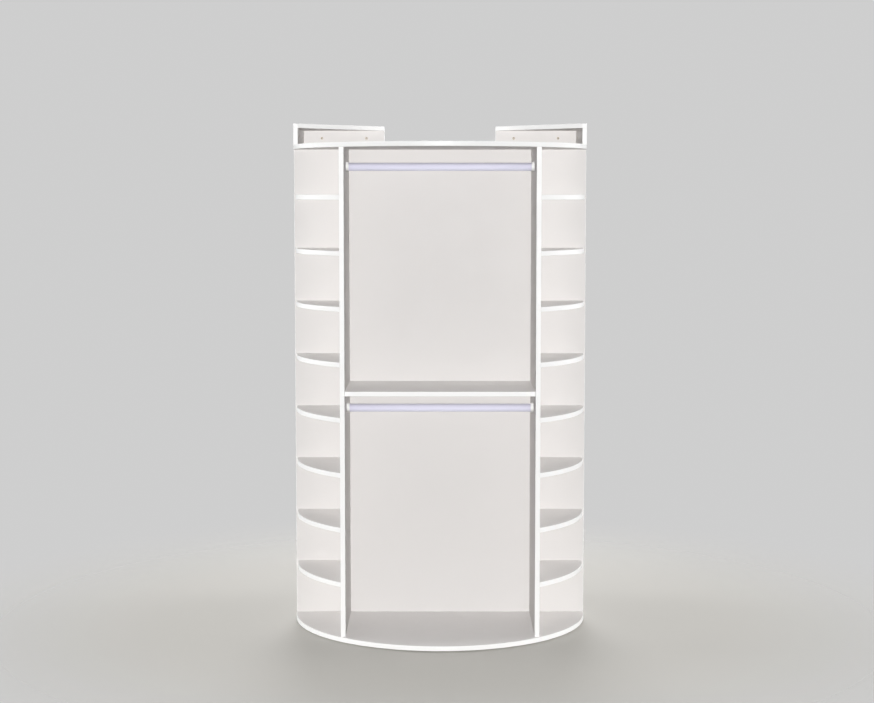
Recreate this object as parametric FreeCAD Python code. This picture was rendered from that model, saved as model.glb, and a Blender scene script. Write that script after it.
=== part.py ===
import FreeCAD, Part
import math
import os

# Revolving wardrobe cabinet, in millimetres.
# The origin is on the floor under the axis of rotation; +Z is up and -Y is the open front.
# A carousel of two round boards, a full-width divider and four uprights carries curved side
# shelves, two mid shelves and four hanging rods. It turns on a ring of balls on the floor and on
# a pin at the top, which a steel carrier holds from two triangular boxes fixed to the alcove.

# ---------------------------------------------------------------- carousel boards
BOARD = 19.0                  # thickness of every board except the box bottoms
CAROUSEL_RADIUS = 610.0       # radius of the base board and of the top board
PANEL_HEIGHT = 1958.0         # clear height between the base board and the top board
BAY_WIDTH = 760.0             # clear width between two uprights, where clothes hang
RIM_REVEAL = 7.0              # how far uprights and side shelves stay inside the round rim
SHELVES_PER_COLUMN = 8        # curved shelves in each side column
TOP_COMPARTMENT = 187.6       # free height from the top of the highest shelf to the top board
MID_SHELF_SETBACK = 20.0      # front edge of a mid shelf behind the uprights' front edges

# ---------------------------------------------------------------- hanging rods
ROD_RADIUS = 16.5             # outside of the rod tube
ROD_WALL = 1.5                # wall of the rod tube
ROD_REACH = 250.0             # rod centre in front of the divider's face
UPPER_ROD_DROP = 75.0         # rod centre below the top board
LOWER_ROD_DROP = 65.0         # rod centre below a mid shelf
SOCKET_WALL = 2.6             # wall around the rod's end
SOCKET_FLOOR = 3.0            # web between the rod's end and the upright
SOCKET_LENGTH = 11.0          # full length of a rod socket
ROD_FIT = 0.2                 # clearance around and beyond a rod's end in its socket

# ---------------------------------------------------------------- ball bearing on the floor
FLOOR_GAP = 6.0               # underside of the base board above the floor
RACE_RADIUS = 320.0           # radius of the circle that the balls run on
RACE_THICKNESS = 4.0          # steel of the floor race and of the upper race
RACE_LIP = 10.0               # steel beside the ball groove, on the side without screws
RACE_FLANGE = 34.0            # steel beside the ball groove, on the side with screws
GROOVE_DEPTH = 1.7            # ball groove in each race
BALL_RADIUS = 4.0             # bearing ball
RUN_GAP = 0.3                 # clearance of a ball in its groove and in the cage
BALL_COUNT = 48               # balls in the ring
CAGE_THICKNESS = 2.0          # plastic ball cage
CAGE_HALF_WIDTH = 7.5         # cage beside the balls' circle
CHANNEL_MARGIN = 2.0          # routed channel in the base board around the upper race
RACE_SCREWS = 8               # screws that hold the upper race, and holes for floor screws
RACE_SCREW_INSET = 10.0       # screw centres from a race flange's free edge
FLOOR_HOLE_RADIUS = 3.25      # hole in the floor race for a floor screw
ACCESS_RADIUS = 8.0           # hole in the base board that reaches the floor screws
PLUG_LIP = 3.0                # cap of the access plug beyond its hole
PLUG_CAP = 1.5                # thickness of the access plug's cap
PLUG_FIT = 0.2                # clearance of the access plug in its hole

# ---------------------------------------------------------------- top pivot and its carrier
FLANGE_RADIUS = 45.0          # steel flange on the top board
FLANGE_THICKNESS = 4.0
SHOULDER_RADIUS = 15.0        # collar between the flange and the bush
PIN_RADIUS = 10.0             # pin that turns in the bush
PIN_FIT = 0.05                # radial running clearance of the pin
BUSH_WALL = 2.5               # wall of the bush in the carrier
BUSH_LIP = 4.0                # rim of the bush under the carrier, beyond its wall
BUSH_RIM = 1.0                # thickness of that rim
CARRIER_THICKNESS = 5.0       # steel plate of the pivot carrier
CARRIER_WIDTH = 70.0          # width of each carrier arm
CARRIER_OVERLAP = 120.0       # length of each carrier arm that lies inside a corner box
CARRIER_SCREW_STEP = 45.0     # spacing of the screws along an arm

# ---------------------------------------------------------------- fixed corner boxes
SIDE_GAP = 22.0               # carousel rim to the alcove's side wall
BACK_GAP = 10.0               # carousel rim to the alcove's back wall
BOX_LEG = 382.0               # length of a corner box along each wall
BOX_GAP = 3.0                 # underside of a box above the turning top board
BOX_BOTTOM = 9.0              # thickness of a box's bottom board
BOX_CLEAR = 67.5              # free height inside a box
WALL_SCREW_SPACING = 200.0    # the two wall screws of a box board
WALL_HOLE_RADIUS = 2.75       # hole for a wall screw

# ---------------------------------------------------------------- dowels and screws
DOWEL_RADIUS = 4.0            # wooden dowel
DOWEL_BITE = 15.5             # depth of a dowel on each side of the divider
DOWEL_IN_UPRIGHT = 12.0       # depth of a dowel in an upright's face
DOWEL_IN_SHELF = 18.0         # depth of the same dowel in the shelf's edge
DOWEL_FIT = 0.05              # clearance around a dowel
DOWEL_ROOM = 0.5              # free depth beyond each end of a dowel
FASTENER_FIT = 0.05           # clearance around a screw
CONFIRMAT_HEAD = 5.0          # head, shank and core radii of a panel screw, and its length
CONFIRMAT_SHANK = 3.5
CONFIRMAT_CORE = 2.5
CONFIRMAT_LENGTH = 50.0
SMALL_HEAD = 4.0              # head and core radii of a countersunk chipboard screw
SMALL_CORE = 2.0
PIN_SCREW_CORE = 1.5          # thin screw into a box's bottom board
EDGE_MARGIN = 60.0            # first and last fastener of a row from the ends of the board
SHELF_MARGIN = 40.0           # the same on the narrow shelves
COLUMN_DOWELS = 5             # dowels that tie the front and rear uprights through the divider

# ---------------------------------------------------------------- derived levels and places
BASE_TOP = FLOOR_GAP + BOARD
TOP_UNDER = BASE_TOP + PANEL_HEIGHT
TOP_FACE = TOP_UNDER + BOARD
DIVIDER_FACE = BOARD / 2
UPRIGHT_IN = BAY_WIDTH / 2
UPRIGHT_OUT = UPRIGHT_IN + BOARD
UPRIGHT_MID = UPRIGHT_IN + BOARD / 2
SHELF_RADIUS = CAROUSEL_RADIUS - RIM_REVEAL
UPRIGHT_FRONT = math.sqrt(SHELF_RADIUS ** 2 - UPRIGHT_OUT ** 2)
SHELF_TIP = math.sqrt(SHELF_RADIUS ** 2 - DIVIDER_FACE ** 2)
DIVIDER_END = math.sqrt(CAROUSEL_RADIUS ** 2 - DIVIDER_FACE ** 2)
SHELF_PITCH = (PANEL_HEIGHT - TOP_COMPARTMENT) / SHELVES_PER_COLUMN
MID_TOP = BASE_TOP + (PANEL_HEIGHT + BOARD) / 2
MID_UNDER = MID_TOP - BOARD
MID_FRONT = UPRIGHT_FRONT - MID_SHELF_SETBACK
ROD_Y = DIVIDER_FACE + ROD_REACH
ROD_LEVELS = {"upper": TOP_UNDER - UPPER_ROD_DROP, "lower": MID_UNDER - LOWER_ROD_DROP}

GROOVE_RADIUS = BALL_RADIUS + RUN_GAP
BALL_LEVEL = RACE_THICKNESS - GROOVE_DEPTH + GROOVE_RADIUS
UPPER_RACE_UNDER = 2 * BALL_LEVEL - RACE_THICKNESS
UPPER_RACE_TOP = UPPER_RACE_UNDER + RACE_THICKNESS
FLOOR_RACE_IN = RACE_RADIUS - RACE_FLANGE
FLOOR_SCREW_CIRCLE = FLOOR_RACE_IN + RACE_SCREW_INSET
UPPER_RACE_IN = RACE_RADIUS - RACE_LIP
UPPER_RACE_OUT = RACE_RADIUS + RACE_FLANGE
UPPER_SCREW_CIRCLE = UPPER_RACE_OUT - RACE_SCREW_INSET
CHANNEL_IN = UPPER_RACE_IN - CHANNEL_MARGIN
CHANNEL_OUT = UPPER_RACE_OUT + CHANNEL_MARGIN

BOX_SIDE_OUT = CAROUSEL_RADIUS + SIDE_GAP
BOX_SIDE_IN = BOX_SIDE_OUT - BOARD
BOX_BACK_OUT = CAROUSEL_RADIUS + BACK_GAP
BOX_BACK_IN = BOX_BACK_OUT - BOARD
BOX_FRONT = BOX_BACK_OUT - BOX_LEG
BOX_END = BOX_SIDE_OUT - BOX_LEG
BOX_UNDER = TOP_FACE + BOX_GAP
BOX_FLOOR = BOX_UNDER + BOX_BOTTOM
BOX_LID_UNDER = BOX_FLOOR + BOX_CLEAR
BOX_TOP = BOX_LID_UNDER + BOARD
CARRIER_TOP = BOX_FLOOR + CARRIER_THICKNESS
BUSH_OUT = PIN_RADIUS + PIN_FIT + BUSH_WALL

LEFT_RIGHT = {"left": -1, "right": 1}
DOWN = FreeCAD.Vector(0, 0, -1)
UP = FreeCAD.Vector(0, 0, 1)
CENTRE = FreeCAD.Vector(0, 0, 0)

nodes = {}
holes = []


# ---------------------------------------------------------------- shapes
def block(x0, x1, y0, y1, z0, z1):
    return Part.makeBox(x1 - x0, y1 - y0, z1 - z0, FreeCAD.Vector(x0, y0, z0))


def disc(radius, z0, z1):
    return Part.makeCylinder(radius, z1 - z0, FreeCAD.Vector(0, 0, z0))


def ring(inner, outer, z0, z1):
    return disc(outer, z0, z1).cut(disc(inner, z0, z1))


def prism(corners, z0, z1):
    points = [FreeCAD.Vector(x, y, z0) for x, y in corners]
    outline = Part.makePolygon(points + [points[0]])
    return Part.Face(outline).extrude(FreeCAD.Vector(0, 0, z1 - z0))


def turned(profile):
    points = [FreeCAD.Vector(radius, 0, z) for radius, z in profile]
    outline = Part.makePolygon(points + [points[0]])
    return Part.Face(outline).revolve(CENTRE, UP, 360)


def around(count, radius, z, start=0.0):
    angles = [math.radians(start + 360.0 * step / count) for step in range(count)]
    return [FreeCAD.Vector(radius * math.cos(a), radius * math.sin(a), z) for a in angles]


def aimed(shape, point, direction):
    """Stand a fastener, modelled along -Z from its head, at a point and along a direction."""
    shape.Placement = FreeCAD.Placement(point, FreeCAD.Rotation(DOWN, direction))
    return shape


def mirrored(shape):
    return shape.mirror(CENTRE, FreeCAD.Vector(1, 0, 0))


def half_turned(shape):
    turned_shape = shape.copy()
    turned_shape.rotate(CENTRE, UP, 180)
    return turned_shape


# ---------------------------------------------------------------- fasteners and their holes
def confirmat(fit=0.0):
    sink = CONFIRMAT_HEAD - CONFIRMAT_SHANK
    return turned([
        (0, 0), (CONFIRMAT_HEAD + fit, 0), (CONFIRMAT_SHANK + fit, -sink),
        (CONFIRMAT_SHANK + fit, -BOARD), (CONFIRMAT_CORE + fit, -BOARD),
        (CONFIRMAT_CORE + fit, -CONFIRMAT_LENGTH - fit), (0, -CONFIRMAT_LENGTH - fit)])


def countersunk(head, core, length, fit=0.0):
    return turned([
        (0, 0), (head + fit, 0), (core + fit, -(head - core)),
        (core + fit, -length - fit), (0, -length - fit)])


def dowel(length, fit=0.0, room=0.0):
    end = FreeCAD.Vector(0, 0, -length - room)
    return Part.makeCylinder(DOWEL_RADIUS + fit, length + 2 * room, end)


def fit_screws(sites, make):
    """Place one screw per site and keep the matching hole for the pieces it passes through."""
    holes.extend(aimed(make(FASTENER_FIT), point, way) for point, way in sites)
    return Part.Compound([aimed(make(), point, way) for point, way in sites])


def fit_dowels(sites, length):
    holes.extend(aimed(dowel(length, DOWEL_FIT, DOWEL_ROOM), point, way) for point, way in sites)
    return Part.Compound([aimed(dowel(length), point, way) for point, way in sites])


def drilled(shape):
    """Cut from a piece every hole that reaches it."""
    tools = [hole for hole in holes if hole.BoundBox.intersect(shape.BoundBox)]
    return shape.cut(tools) if tools else shape


# ---------------------------------------------------------------- places of the fasteners
def row(first, last, count):
    return [first + (last - first) * step / (count - 1) for step in range(count)]


def four_ways(x, y):
    return [(sx * x, sy * y) for sx in (-1, 1) for sy in (-1, 1)]


def panel_screw_sites():
    """Screws through the round boards into the ends of the uprights and the divider."""
    places = []
    for y in row(DIVIDER_FACE + EDGE_MARGIN, UPRIGHT_FRONT - EDGE_MARGIN, 3):
        places += four_ways(UPRIGHT_MID, y)
    divider_x = (FLANGE_RADIUS + SHELF_MARGIN, CHANNEL_IN - SHELF_MARGIN,
                 CHANNEL_OUT + EDGE_MARGIN, DIVIDER_END - EDGE_MARGIN)
    for x in divider_x:
        places += [(-x, 0), (x, 0)]
    sites = [(FreeCAD.Vector(x, y, FLOOR_GAP), UP) for x, y in places]
    return sites + [(FreeCAD.Vector(x, y, TOP_FACE), DOWN) for x, y in places]


def shelf_mid_level(number):
    return BASE_TOP + number * SHELF_PITCH - BOARD / 2


def divider_dowel_sites():
    """Dowels right through the divider, which hold a piece on its front and on its rear."""
    places = []
    for number in range(1, SHELVES_PER_COLUMN + 1):
        for x in (UPRIGHT_OUT + SHELF_MARGIN, SHELF_TIP - SHELF_MARGIN):
            places += [(-x, shelf_mid_level(number)), (x, shelf_mid_level(number))]
    step = PANEL_HEIGHT / COLUMN_DOWELS
    for number in range(COLUMN_DOWELS):
        z = BASE_TOP + (number + 0.5) * step
        places += [(-UPRIGHT_MID, z), (UPRIGHT_MID, z)]
    reach = UPRIGHT_IN - EDGE_MARGIN
    places += [(x, MID_TOP - BOARD / 2) for x in (-reach, 0, reach)]
    start = DIVIDER_FACE + DOWEL_BITE
    toward_rear = FreeCAD.Vector(0, 1, 0)
    return [(FreeCAD.Vector(x, -start, z), toward_rear) for x, z in places]


def upright_dowel_sites():
    """Short dowels from the uprights' faces into the ends of the shelves."""
    sites = []
    for side in (-1, 1):
        outward = FreeCAD.Vector(side, 0, 0)
        for y in (DIVIDER_FACE + EDGE_MARGIN, UPRIGHT_FRONT - EDGE_MARGIN - MID_SHELF_SETBACK):
            for depth in (-y, y):
                start = side * (UPRIGHT_OUT - DOWEL_IN_UPRIGHT)
                for number in range(1, SHELVES_PER_COLUMN + 1):
                    point = FreeCAD.Vector(start, depth, shelf_mid_level(number))
                    sites.append((point, outward))
                start = side * (UPRIGHT_IN + DOWEL_IN_UPRIGHT)
                point = FreeCAD.Vector(start, depth, MID_TOP - BOARD / 2)
                sites.append((point, outward * -1))
    return sites


def rod_socket_places():
    return [(side, depth * ROD_Y, level) for level in ROD_LEVELS.values()
            for depth in (-1, 1) for side in (-1, 1)]


def box_screw_sites(side):
    """Panel screws of one corner box: lid to walls, and side board to back board."""
    x_mid = side * (BOX_SIDE_OUT - BOARD / 2)
    y_mid = BOX_BACK_OUT - BOARD / 2
    sites = [(FreeCAD.Vector(x_mid, y, BOX_TOP), DOWN)
             for y in row(BOX_FRONT + SHELF_MARGIN, BOX_BACK_IN - SHELF_MARGIN, 3)]
    sites += [(FreeCAD.Vector(side * x, y_mid, BOX_TOP), DOWN)
              for x in row(BOX_END + SHELF_MARGIN, BOX_SIDE_IN - SHELF_MARGIN, 3)]
    level = BOX_FLOOR + BOX_CLEAR / 4
    sites.append((FreeCAD.Vector(side * BOX_SIDE_OUT, y_mid, level), FreeCAD.Vector(-side, 0, 0)))
    return sites


def bottom_screw_sites(side):
    """Thin screws through the side board and the back board into the box's bottom board."""
    z = BOX_UNDER + BOX_BOTTOM / 2
    inward = FreeCAD.Vector(-side, 0, 0)
    forward = FreeCAD.Vector(0, -1, 0)
    reach = BOX_LEG / 2
    sites = [(FreeCAD.Vector(side * BOX_SIDE_OUT, y, z), inward)
             for y in (BOX_BACK_IN - reach, BOX_BACK_IN - SHELF_MARGIN)]
    sites += [(FreeCAD.Vector(side * x, BOX_BACK_OUT, z), forward)
              for x in (BOX_SIDE_IN - reach, BOX_SIDE_IN - SHELF_MARGIN)]
    return sites


def carrier_line():
    """Distance from the axis, along the diagonal, to a box's front edge."""
    return (BOX_SIDE_IN + BOX_FRONT) / math.sqrt(2)


def carrier_screw_sites(side):
    first = carrier_line() + CARRIER_OVERLAP / 2 - CARRIER_SCREW_STEP / 2
    sites = []
    for along in (first, first + CARRIER_SCREW_STEP):
        for across in (-CARRIER_WIDTH / 4, CARRIER_WIDTH / 4):
            x = (along - across) / math.sqrt(2)
            y = (along + across) / math.sqrt(2)
            sites.append((FreeCAD.Vector(side * x, y, CARRIER_TOP), DOWN))
    return sites


# ---------------------------------------------------------------- boards of the carousel
def base_board():
    """Round base board with a routed channel for the upper race and an access hole."""
    board = disc(CAROUSEL_RADIUS, FLOOR_GAP, BASE_TOP)
    board = board.cut(ring(CHANNEL_IN, CHANNEL_OUT, FLOOR_GAP, UPPER_RACE_TOP))
    access = Part.makeCylinder(ACCESS_RADIUS, BOARD, FreeCAD.Vector(0, FLOOR_SCREW_CIRCLE, FLOOR_GAP))
    return board.cut(access)


def upright():
    """Front right upright; its outer front corner lies on the side shelves' arc."""
    return block(UPRIGHT_IN, UPRIGHT_OUT, -UPRIGHT_FRONT, -DIVIDER_FACE, BASE_TOP, TOP_UNDER)


def side_shelf(number):
    """Front right shelf: straight along the divider and the upright, round towards the rim."""
    top = BASE_TOP + number * SHELF_PITCH
    corner = block(UPRIGHT_OUT, SHELF_RADIUS, -SHELF_RADIUS, -DIVIDER_FACE, top - BOARD, top)
    return corner.common(disc(SHELF_RADIUS, top - BOARD, top))


def mid_shelf():
    """Front mid shelf, between the two uprights."""
    return block(-UPRIGHT_IN, UPRIGHT_IN, -MID_FRONT, -DIVIDER_FACE, MID_UNDER, MID_TOP)


def add_carousel_boards():
    nodes["base_board"] = drilled(base_board())
    nodes["top_board"] = drilled(disc(CAROUSEL_RADIUS, TOP_UNDER, TOP_FACE))
    divider = block(-DIVIDER_END, DIVIDER_END, -DIVIDER_FACE, DIVIDER_FACE, BASE_TOP, TOP_UNDER)
    nodes["divider_panel"] = drilled(divider)
    nodes["upright_front_right"] = drilled(upright())
    nodes["upright_front_left"] = drilled(mirrored(upright()))
    nodes["upright_rear_left"] = drilled(half_turned(upright()))
    nodes["upright_rear_right"] = drilled(half_turned(mirrored(upright())))
    nodes["mid_shelf_front"] = drilled(mid_shelf())
    nodes["mid_shelf_rear"] = drilled(half_turned(mid_shelf()))
    rear = {"left": [], "right": []}
    for number in range(1, SHELVES_PER_COLUMN + 1):
        shelf = side_shelf(number)
        nodes[f"side_shelf_right_{number}"] = drilled(shelf)
        nodes[f"side_shelf_left_{number}"] = drilled(mirrored(shelf))
        rear["left"].append(drilled(half_turned(shelf)))
        rear["right"].append(drilled(half_turned(mirrored(shelf))))
    for hand, shelves in rear.items():
        nodes[f"rear_shelves_{hand}"] = Part.Compound(shelves)


# ---------------------------------------------------------------- hanging rods
def rod_socket(side, y, z):
    """Round cup, open towards the rod, with one screw through its floor."""
    outer = ROD_RADIUS + ROD_FIT + SOCKET_WALL
    cup = Part.makeCylinder(outer, SOCKET_LENGTH)
    bore = Part.makeCylinder(ROD_RADIUS + ROD_FIT, SOCKET_LENGTH, FreeCAD.Vector(0, 0, SOCKET_FLOOR))
    cup = cup.cut(bore)
    way = FreeCAD.Rotation(UP, FreeCAD.Vector(-side, 0, 0))
    cup.Placement = FreeCAD.Placement(FreeCAD.Vector(side * UPRIGHT_IN, y, z), way)
    return drilled(cup)


def add_rods():
    nodes["rod_sockets"] = Part.Compound([rod_socket(*place) for place in rod_socket_places()])
    half = UPRIGHT_IN - SOCKET_FLOOR - ROD_FIT
    for name, z in ROD_LEVELS.items():
        for face, depth in (("front", -1), ("rear", 1)):
            start = FreeCAD.Vector(-half, depth * ROD_Y, z)
            along = FreeCAD.Vector(1, 0, 0)
            rod = Part.makeCylinder(ROD_RADIUS, 2 * half, start, along)
            bore = Part.makeCylinder(ROD_RADIUS - ROD_WALL, 2 * half, start, along)
            nodes[f"{name}_rod_{face}"] = rod.cut(bore)


# ---------------------------------------------------------------- ball bearing
def groove():
    circle = Part.makeTorus(RACE_RADIUS, GROOVE_RADIUS)
    circle.translate(FreeCAD.Vector(0, 0, BALL_LEVEL))
    return circle


def floor_race():
    """Ring that is screwed to the floor; its countersunk holes open upwards."""
    steel = ring(FLOOR_RACE_IN, RACE_RADIUS + RACE_LIP, 0, RACE_THICKNESS).cut(groove())
    sink = 2 * FLOOR_HOLE_RADIUS
    hole = [(0, RACE_THICKNESS), (sink, RACE_THICKNESS),
            (FLOOR_HOLE_RADIUS, RACE_THICKNESS - FLOOR_HOLE_RADIUS),
            (FLOOR_HOLE_RADIUS, 0), (0, 0)]
    tools = []
    for place in around(RACE_SCREWS, FLOOR_SCREW_CIRCLE, 0, start=90):
        tool = turned(hole)
        tool.translate(place)
        tools.append(tool)
    return steel.cut(tools)


def add_bearing():
    nodes["floor_race"] = floor_race()
    steel = ring(UPPER_RACE_IN, UPPER_RACE_OUT, UPPER_RACE_UNDER, UPPER_RACE_TOP)
    nodes["upper_race"] = drilled(steel.cut(groove()))
    places = around(BALL_COUNT, RACE_RADIUS, BALL_LEVEL)
    nodes["bearing_balls"] = Part.Compound([Part.makeSphere(BALL_RADIUS, place) for place in places])
    under = BALL_LEVEL - CAGE_THICKNESS / 2
    cage = ring(RACE_RADIUS - CAGE_HALF_WIDTH, RACE_RADIUS + CAGE_HALF_WIDTH,
                under, under + CAGE_THICKNESS)
    drop = FreeCAD.Vector(0, 0, -CAGE_THICKNESS / 2)
    nodes["ball_cage"] = cage.cut([
        Part.makeCylinder(GROOVE_RADIUS, CAGE_THICKNESS, place + drop) for place in places])
    stem = ACCESS_RADIUS - PLUG_FIT
    plug = turned([
        (0, 0), (ACCESS_RADIUS + PLUG_LIP, 0), (ACCESS_RADIUS + PLUG_LIP, -PLUG_CAP),
        (stem, -PLUG_CAP), (stem, -PLUG_CAP - BOARD / 2), (0, -PLUG_CAP - BOARD / 2)])
    plug.translate(FreeCAD.Vector(0, FLOOR_SCREW_CIRCLE, BASE_TOP + PLUG_CAP))
    nodes["access_plug"] = plug


# ---------------------------------------------------------------- top pivot and carrier
def pivot_carrier():
    """Flat steel plate with a round hub over the axis and one arm into each corner box."""
    arm_end = carrier_line() + CARRIER_OVERLAP
    plate = disc(CARRIER_WIDTH / 2, BOX_FLOOR, CARRIER_TOP)
    for angle in (45, 135):
        arm = block(0, arm_end, -CARRIER_WIDTH / 2, CARRIER_WIDTH / 2, BOX_FLOOR, CARRIER_TOP)
        arm.rotate(CENTRE, UP, angle)
        plate = plate.fuse(arm)
    plate = plate.removeSplitter()
    return plate.cut(disc(BUSH_OUT, BOX_FLOOR, CARRIER_TOP))


def add_top_pivot():
    rim_under = BOX_FLOOR - BUSH_RIM
    shoulder_top = rim_under - RUN_GAP
    pivot = turned([
        (0, TOP_FACE), (FLANGE_RADIUS, TOP_FACE), (FLANGE_RADIUS, TOP_FACE + FLANGE_THICKNESS),
        (SHOULDER_RADIUS, TOP_FACE + FLANGE_THICKNESS), (SHOULDER_RADIUS, shoulder_top),
        (PIN_RADIUS, shoulder_top), (PIN_RADIUS, CARRIER_TOP), (0, CARRIER_TOP)])
    nodes["top_pivot"] = drilled(pivot)
    bore = PIN_RADIUS + PIN_FIT
    nodes["pivot_bush"] = turned([
        (bore, rim_under), (BUSH_OUT + BUSH_LIP, rim_under), (BUSH_OUT + BUSH_LIP, BOX_FLOOR),
        (BUSH_OUT, BOX_FLOOR), (BUSH_OUT, CARRIER_TOP), (bore, CARRIER_TOP)])
    nodes["pivot_carrier"] = drilled(pivot_carrier())


# ---------------------------------------------------------------- fixed corner boxes
def wall_hole(point, way):
    """Countersunk hole through a box's board, with the head on the inner face."""
    hole = turned([
        (0, 0), (2 * WALL_HOLE_RADIUS, 0), (WALL_HOLE_RADIUS, -WALL_HOLE_RADIUS),
        (WALL_HOLE_RADIUS, -BOARD), (0, -BOARD)])
    return aimed(hole, point, way)


def box_boards():
    """Right-hand corner box: side, back, lid and bottom, with the front open on the diagonal."""
    side = block(BOX_SIDE_IN, BOX_SIDE_OUT, BOX_FRONT, BOX_BACK_OUT, BOX_UNDER, BOX_LID_UNDER)
    back = block(BOX_END, BOX_SIDE_IN, BOX_BACK_IN, BOX_BACK_OUT, BOX_UNDER, BOX_LID_UNDER)
    lid = prism([
        (BOX_SIDE_OUT, BOX_FRONT), (BOX_SIDE_OUT, BOX_BACK_OUT), (BOX_END, BOX_BACK_OUT),
        (BOX_END, BOX_BACK_IN), (BOX_SIDE_IN, BOX_FRONT)], BOX_LID_UNDER, BOX_TOP)
    bottom = prism([
        (BOX_SIDE_IN, BOX_FRONT), (BOX_SIDE_IN, BOX_BACK_IN), (BOX_END, BOX_BACK_IN)],
        BOX_UNDER, BOX_FLOOR)
    level = BOX_FLOOR + BOX_CLEAR / 2
    side_middle = (BOX_FRONT + BOX_BACK_IN) / 2
    back_middle = (BOX_END + BOX_SIDE_IN) / 2
    for shift in (-WALL_SCREW_SPACING / 2, WALL_SCREW_SPACING / 2):
        point = FreeCAD.Vector(BOX_SIDE_IN, side_middle + shift, level)
        side = side.cut(wall_hole(point, FreeCAD.Vector(1, 0, 0)))
        point = FreeCAD.Vector(back_middle + shift, BOX_BACK_IN, level)
        back = back.cut(wall_hole(point, FreeCAD.Vector(0, 1, 0)))
    return {"side": side, "back": back, "lid": lid, "bottom": bottom}


def add_corner_boxes():
    for name, board in box_boards().items():
        nodes[f"box_{name}_right"] = drilled(board)
        nodes[f"box_{name}_left"] = drilled(mirrored(board))


# ---------------------------------------------------------------- fasteners
def add_fasteners():
    """The fasteners come first, because every board takes its holes from them."""
    bite = BOARD - DOWEL_IN_UPRIGHT / 2
    nodes["panel_screws"] = fit_screws(panel_screw_sites(), confirmat)
    nodes["divider_dowels"] = fit_dowels(divider_dowel_sites(), BOARD + 2 * DOWEL_BITE)
    nodes["upright_dowels"] = fit_dowels(upright_dowel_sites(), DOWEL_IN_UPRIGHT + DOWEL_IN_SHELF)
    sites = [(FreeCAD.Vector(side * (UPRIGHT_IN - SOCKET_FLOOR), y, z), FreeCAD.Vector(side, 0, 0))
             for side, y, z in rod_socket_places()]
    nodes["socket_screws"] = fit_screws(
        sites, lambda fit=0.0: countersunk(SMALL_HEAD, SMALL_CORE, SOCKET_FLOOR + bite, fit))
    sites = [(place, UP) for place in around(RACE_SCREWS, UPPER_SCREW_CIRCLE, UPPER_RACE_UNDER)]
    race_screw = RACE_THICKNESS + (BASE_TOP - UPPER_RACE_TOP) / 2
    nodes["race_screws"] = fit_screws(
        sites, lambda fit=0.0: countersunk(SMALL_HEAD, SMALL_CORE, race_screw, fit))
    circle = (FLANGE_RADIUS + SHOULDER_RADIUS) / 2
    sites = [(place, DOWN) for place in around(4, circle, TOP_FACE + FLANGE_THICKNESS, start=45)]
    nodes["pivot_screws"] = fit_screws(
        sites, lambda fit=0.0: countersunk(SMALL_HEAD, SMALL_CORE, FLANGE_THICKNESS + bite, fit))
    nodes["box_screws"] = fit_screws(box_screw_sites(-1) + box_screw_sites(1), confirmat)
    nodes["bottom_screws"] = fit_screws(
        bottom_screw_sites(-1) + bottom_screw_sites(1),
        lambda fit=0.0: countersunk(2 * PIN_SCREW_CORE, PIN_SCREW_CORE, BOARD + bite, fit))
    nodes["carrier_screws"] = fit_screws(
        carrier_screw_sites(-1) + carrier_screw_sites(1),
        lambda fit=0.0: countersunk(
            SMALL_HEAD, SMALL_CORE, CARRIER_THICKNESS + BOX_BOTTOM * 3 / 4, fit))


def main():
    add_fasteners()
    add_carousel_boards()
    add_rods()
    add_bearing()
    add_top_pivot()
    add_corner_boxes()
    os.makedirs("parts", exist_ok=True)
    for name, shape in nodes.items():
        shape.exportStep(f"parts/{name}.step")


main()
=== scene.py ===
import math

import bmesh
import bpy
from mathutils import Matrix, Vector


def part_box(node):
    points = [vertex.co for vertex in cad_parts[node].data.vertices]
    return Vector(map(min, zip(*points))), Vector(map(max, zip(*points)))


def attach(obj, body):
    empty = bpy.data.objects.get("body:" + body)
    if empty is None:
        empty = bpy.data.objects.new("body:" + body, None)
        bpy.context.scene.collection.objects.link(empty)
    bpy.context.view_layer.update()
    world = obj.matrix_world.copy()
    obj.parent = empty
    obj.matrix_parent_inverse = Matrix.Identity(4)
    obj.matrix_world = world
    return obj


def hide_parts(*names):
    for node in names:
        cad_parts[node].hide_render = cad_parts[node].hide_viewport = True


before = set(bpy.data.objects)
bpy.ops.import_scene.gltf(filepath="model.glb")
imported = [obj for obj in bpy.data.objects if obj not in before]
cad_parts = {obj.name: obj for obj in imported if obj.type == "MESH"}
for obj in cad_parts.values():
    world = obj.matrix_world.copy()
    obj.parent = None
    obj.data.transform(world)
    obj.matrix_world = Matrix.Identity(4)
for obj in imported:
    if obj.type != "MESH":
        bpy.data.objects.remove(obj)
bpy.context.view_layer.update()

# ---------------------------------------------------------------- camera
# It stands well back in front of the open half, at standing eye level and almost on the middle
# line, and looks a little down, so that the lower shelves show more of their upper faces.
LOOK_DOWN = 0.08749
TURN_LEFT = 0.00106
lens = bpy.data.cameras.new("camera")
lens.sensor_width = 36.0
lens.lens = 74.452
camera = bpy.data.objects.new("camera", lens)
camera.location = (-0.0049, -7.5941, 1.8029)
camera.rotation_euler = (math.pi / 2 - LOOK_DOWN, 0.0, TURN_LEFT)
bpy.context.scene.collection.objects.link(camera)
bpy.context.scene.camera = camera


# ---------------------------------------------------------------- studio
# Broad lamp panels light the boards softly from all sides, and four more only put a sheen on
# metal and edges. The dim white surround is seen as a pale grey, and the floor fades into it.
AMBIENT = 0.05
BACKGROUND = 0.62
AIM = Vector((0.0, 0.0, 1.05))
bpy.context.scene.view_settings.view_transform = "Standard"


def add_node(tree, kind, settings=None, **inputs):
    """Add a shader node; each input takes a value or another node's output."""
    node = tree.nodes.new("ShaderNode" + kind)
    for name, value in (settings or {}).items():
        setattr(node, name, value)
    for name, value in inputs.items():
        feed(tree, node.inputs[name.replace("_", " ")], value)
    return node


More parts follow.
